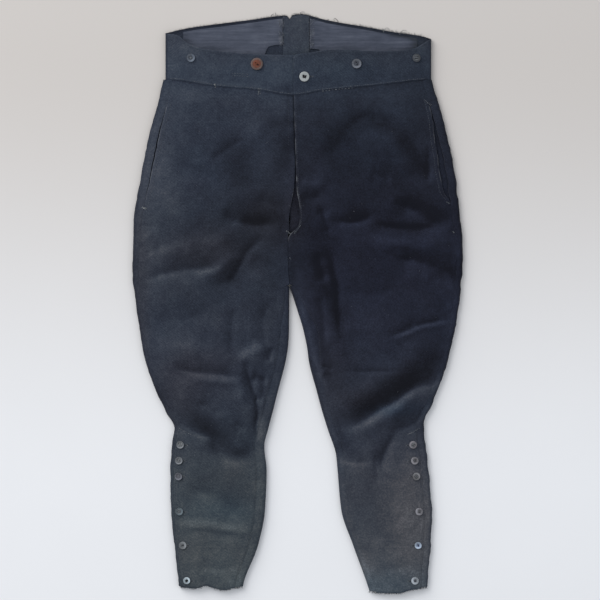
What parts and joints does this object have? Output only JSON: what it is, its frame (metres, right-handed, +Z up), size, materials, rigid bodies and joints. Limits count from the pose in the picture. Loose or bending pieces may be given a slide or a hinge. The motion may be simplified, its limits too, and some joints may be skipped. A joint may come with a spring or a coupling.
{
  "type": "riding breeches laid flat",
  "caption": "Button-calf riding breeches in dark navy wool, laid flat front side up, with a high waistband, buttoned fly, full thighs and close buttoned calves.",
  "frame": {"origin": "centre of the garment's outline on the surface that it lies on", "axes": "+X towards the wearer's left, +Y towards the waist, +Z up, out of the front side"},
  "size_m": [0.5499, 0.964, 0.0238],
  "materials": {
    "navy_wool": "dark navy heavy wool with a short brushed nap",
    "blue_grey_lining": "blue-grey woven lining, stitched",
    "button_white": "white sew-through button",
    "button_brown": "orange-brown horn-like button",
    "button_grey": "mottled grey button",
    "button_dark": "dark brown-grey button",
    "button_calf": "worn grey-blue horn-like button"
  },
  "bodies": {
    "root": {"front_right": "navy_wool", "back_right": "navy_wool", "back_right_outseam_turn": "navy_wool", "back_right_inseam_turn": "navy_wool", "waistband_right": "navy_wool", "waist_lining_right": "blue_grey_lining", "pocket_bearer_right": "navy_wool", "calf_stand_right": "navy_wool", "front_left": "navy_wool", "back_left": "navy_wool", "back_left_outseam_turn": "navy_wool", "back_left_inseam_turn": "navy_wool", "waistband_left": "navy_wool", "waist_lining_left": "blue_grey_lining", "pocket_bearer_left": "navy_wool", "calf_stand_left": "navy_wool", "fly_underlap": "navy_wool", "centre_back_inlay": "navy_wool", "waist_button_1": "button_grey", "waist_button_2": "button_brown", "waist_button_3": "button_white", "waist_button_4": "button_grey", "waist_button_5": "button_dark", "calf_button_right_1": "button_calf", "calf_button_right_2": "button_calf", "calf_button_right_3": "button_calf", "calf_button_right_4": "button_calf", "calf_button_right_5": "button_calf", "calf_button_right_6": "button_calf", "calf_button_left_1": "button_calf", "calf_button_left_2": "button_calf", "calf_button_left_3": "button_calf", "calf_button_left_4": "button_calf", "calf_button_left_5": "button_calf", "calf_button_left_6": "button_calf"}
  },
  "joints": []
}
